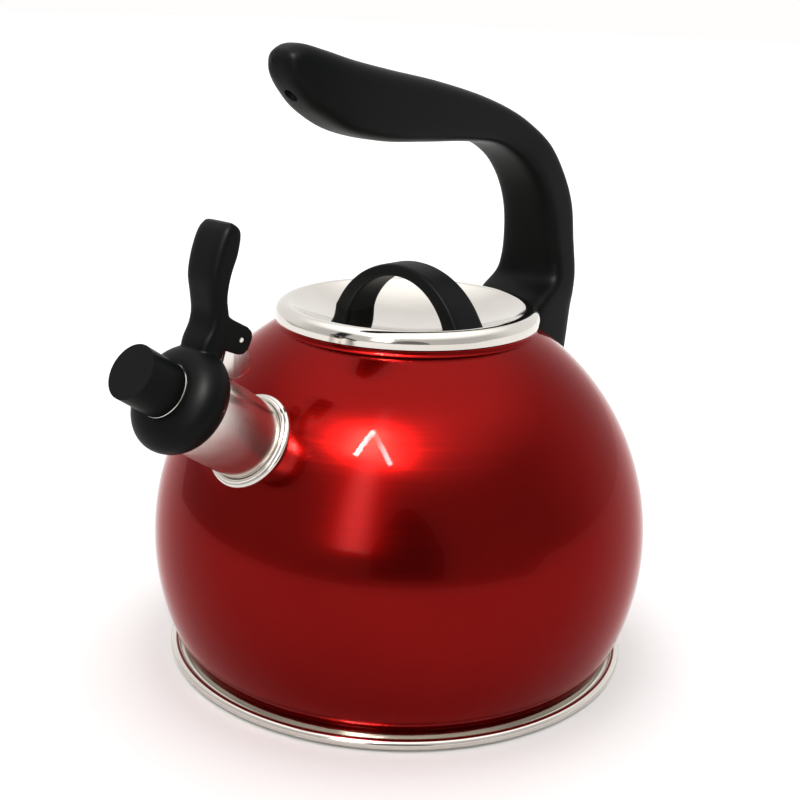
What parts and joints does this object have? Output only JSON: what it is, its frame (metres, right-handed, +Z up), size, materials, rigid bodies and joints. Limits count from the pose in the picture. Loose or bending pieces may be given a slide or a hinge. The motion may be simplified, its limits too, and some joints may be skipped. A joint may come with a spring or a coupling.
{
  "type": "stovetop whistling kettle",
  "caption": "Ball-shaped stovetop kettle with a slanted spout, a hinged whistle cap on a spring, a lift-off lid with an arched knob and a one-foot handle over the lid.",
  "frame": {"origin": "on the kettle's axis, at the underside of the base, which stands on the hob", "axes": "+Z up, along the kettle's axis; the spout points along -X; the handle's foot stands at +X; the X-Z plane is the plane of symmetry"},
  "size_m": [0.227, 0.2, 0.2424],
  "materials": {
    "red_enamel": "translucent red lacquer over polished steel, high gloss",
    "polished_steel": "mirror-polished stainless steel",
    "brushed_steel": "satin stainless steel",
    "spring_steel": "plain steel",
    "aluminium_core": "rolled, sealed inside the base",
    "black_plastic": "satin heat-resistant phenolic",
    "silicone": "matt food-grade silicone"
  },
  "bodies": {
    "kettle": {"body_shell": "red_enamel", "neck_ring": "polished_steel", "floor_pan": "brushed_steel", "heat_spreader": "aluminium_core", "base_cover": "polished_steel", "spout_flange": "polished_steel", "spout_tube": "polished_steel", "hinge_bracket": "polished_steel", "hinge_pin": "polished_steel", "return_spring": "spring_steel", "handle_bracket": "brushed_steel", "handle_core": "brushed_steel", "handle_grip": "black_plastic", "handle_screws": "spring_steel"},
    "lid": {"lid_shell": "polished_steel", "lid_plug": "polished_steel", "lid_knob": "black_plastic", "lid_screws": "spring_steel", "lid_washers": "spring_steel"},
    "whistle": {"whistle_cap": "black_plastic", "whistle_seal": "silicone", "whistle_cup": "polished_steel", "whistle_front_plate": "brushed_steel", "whistle_rear_plate": "brushed_steel"}
  },
  "joints": [
    {"name": "whistle_hinge", "type": "hinge", "parent": "kettle", "child": "whistle", "pos_m": [-0.09165, 0, 0.14535], "axis": [0, 1, 0], "range_deg": [0, 50], "stiffness_Nm_per_rad": 0.04, "springref_deg": -34.38, "deforming": ["return_spring"]},
    {"name": "lid_lift", "type": "slide", "parent": "kettle", "child": "lid", "axis": [0, 0, 1], "range_m": [0, 0.038]}
  ]
}
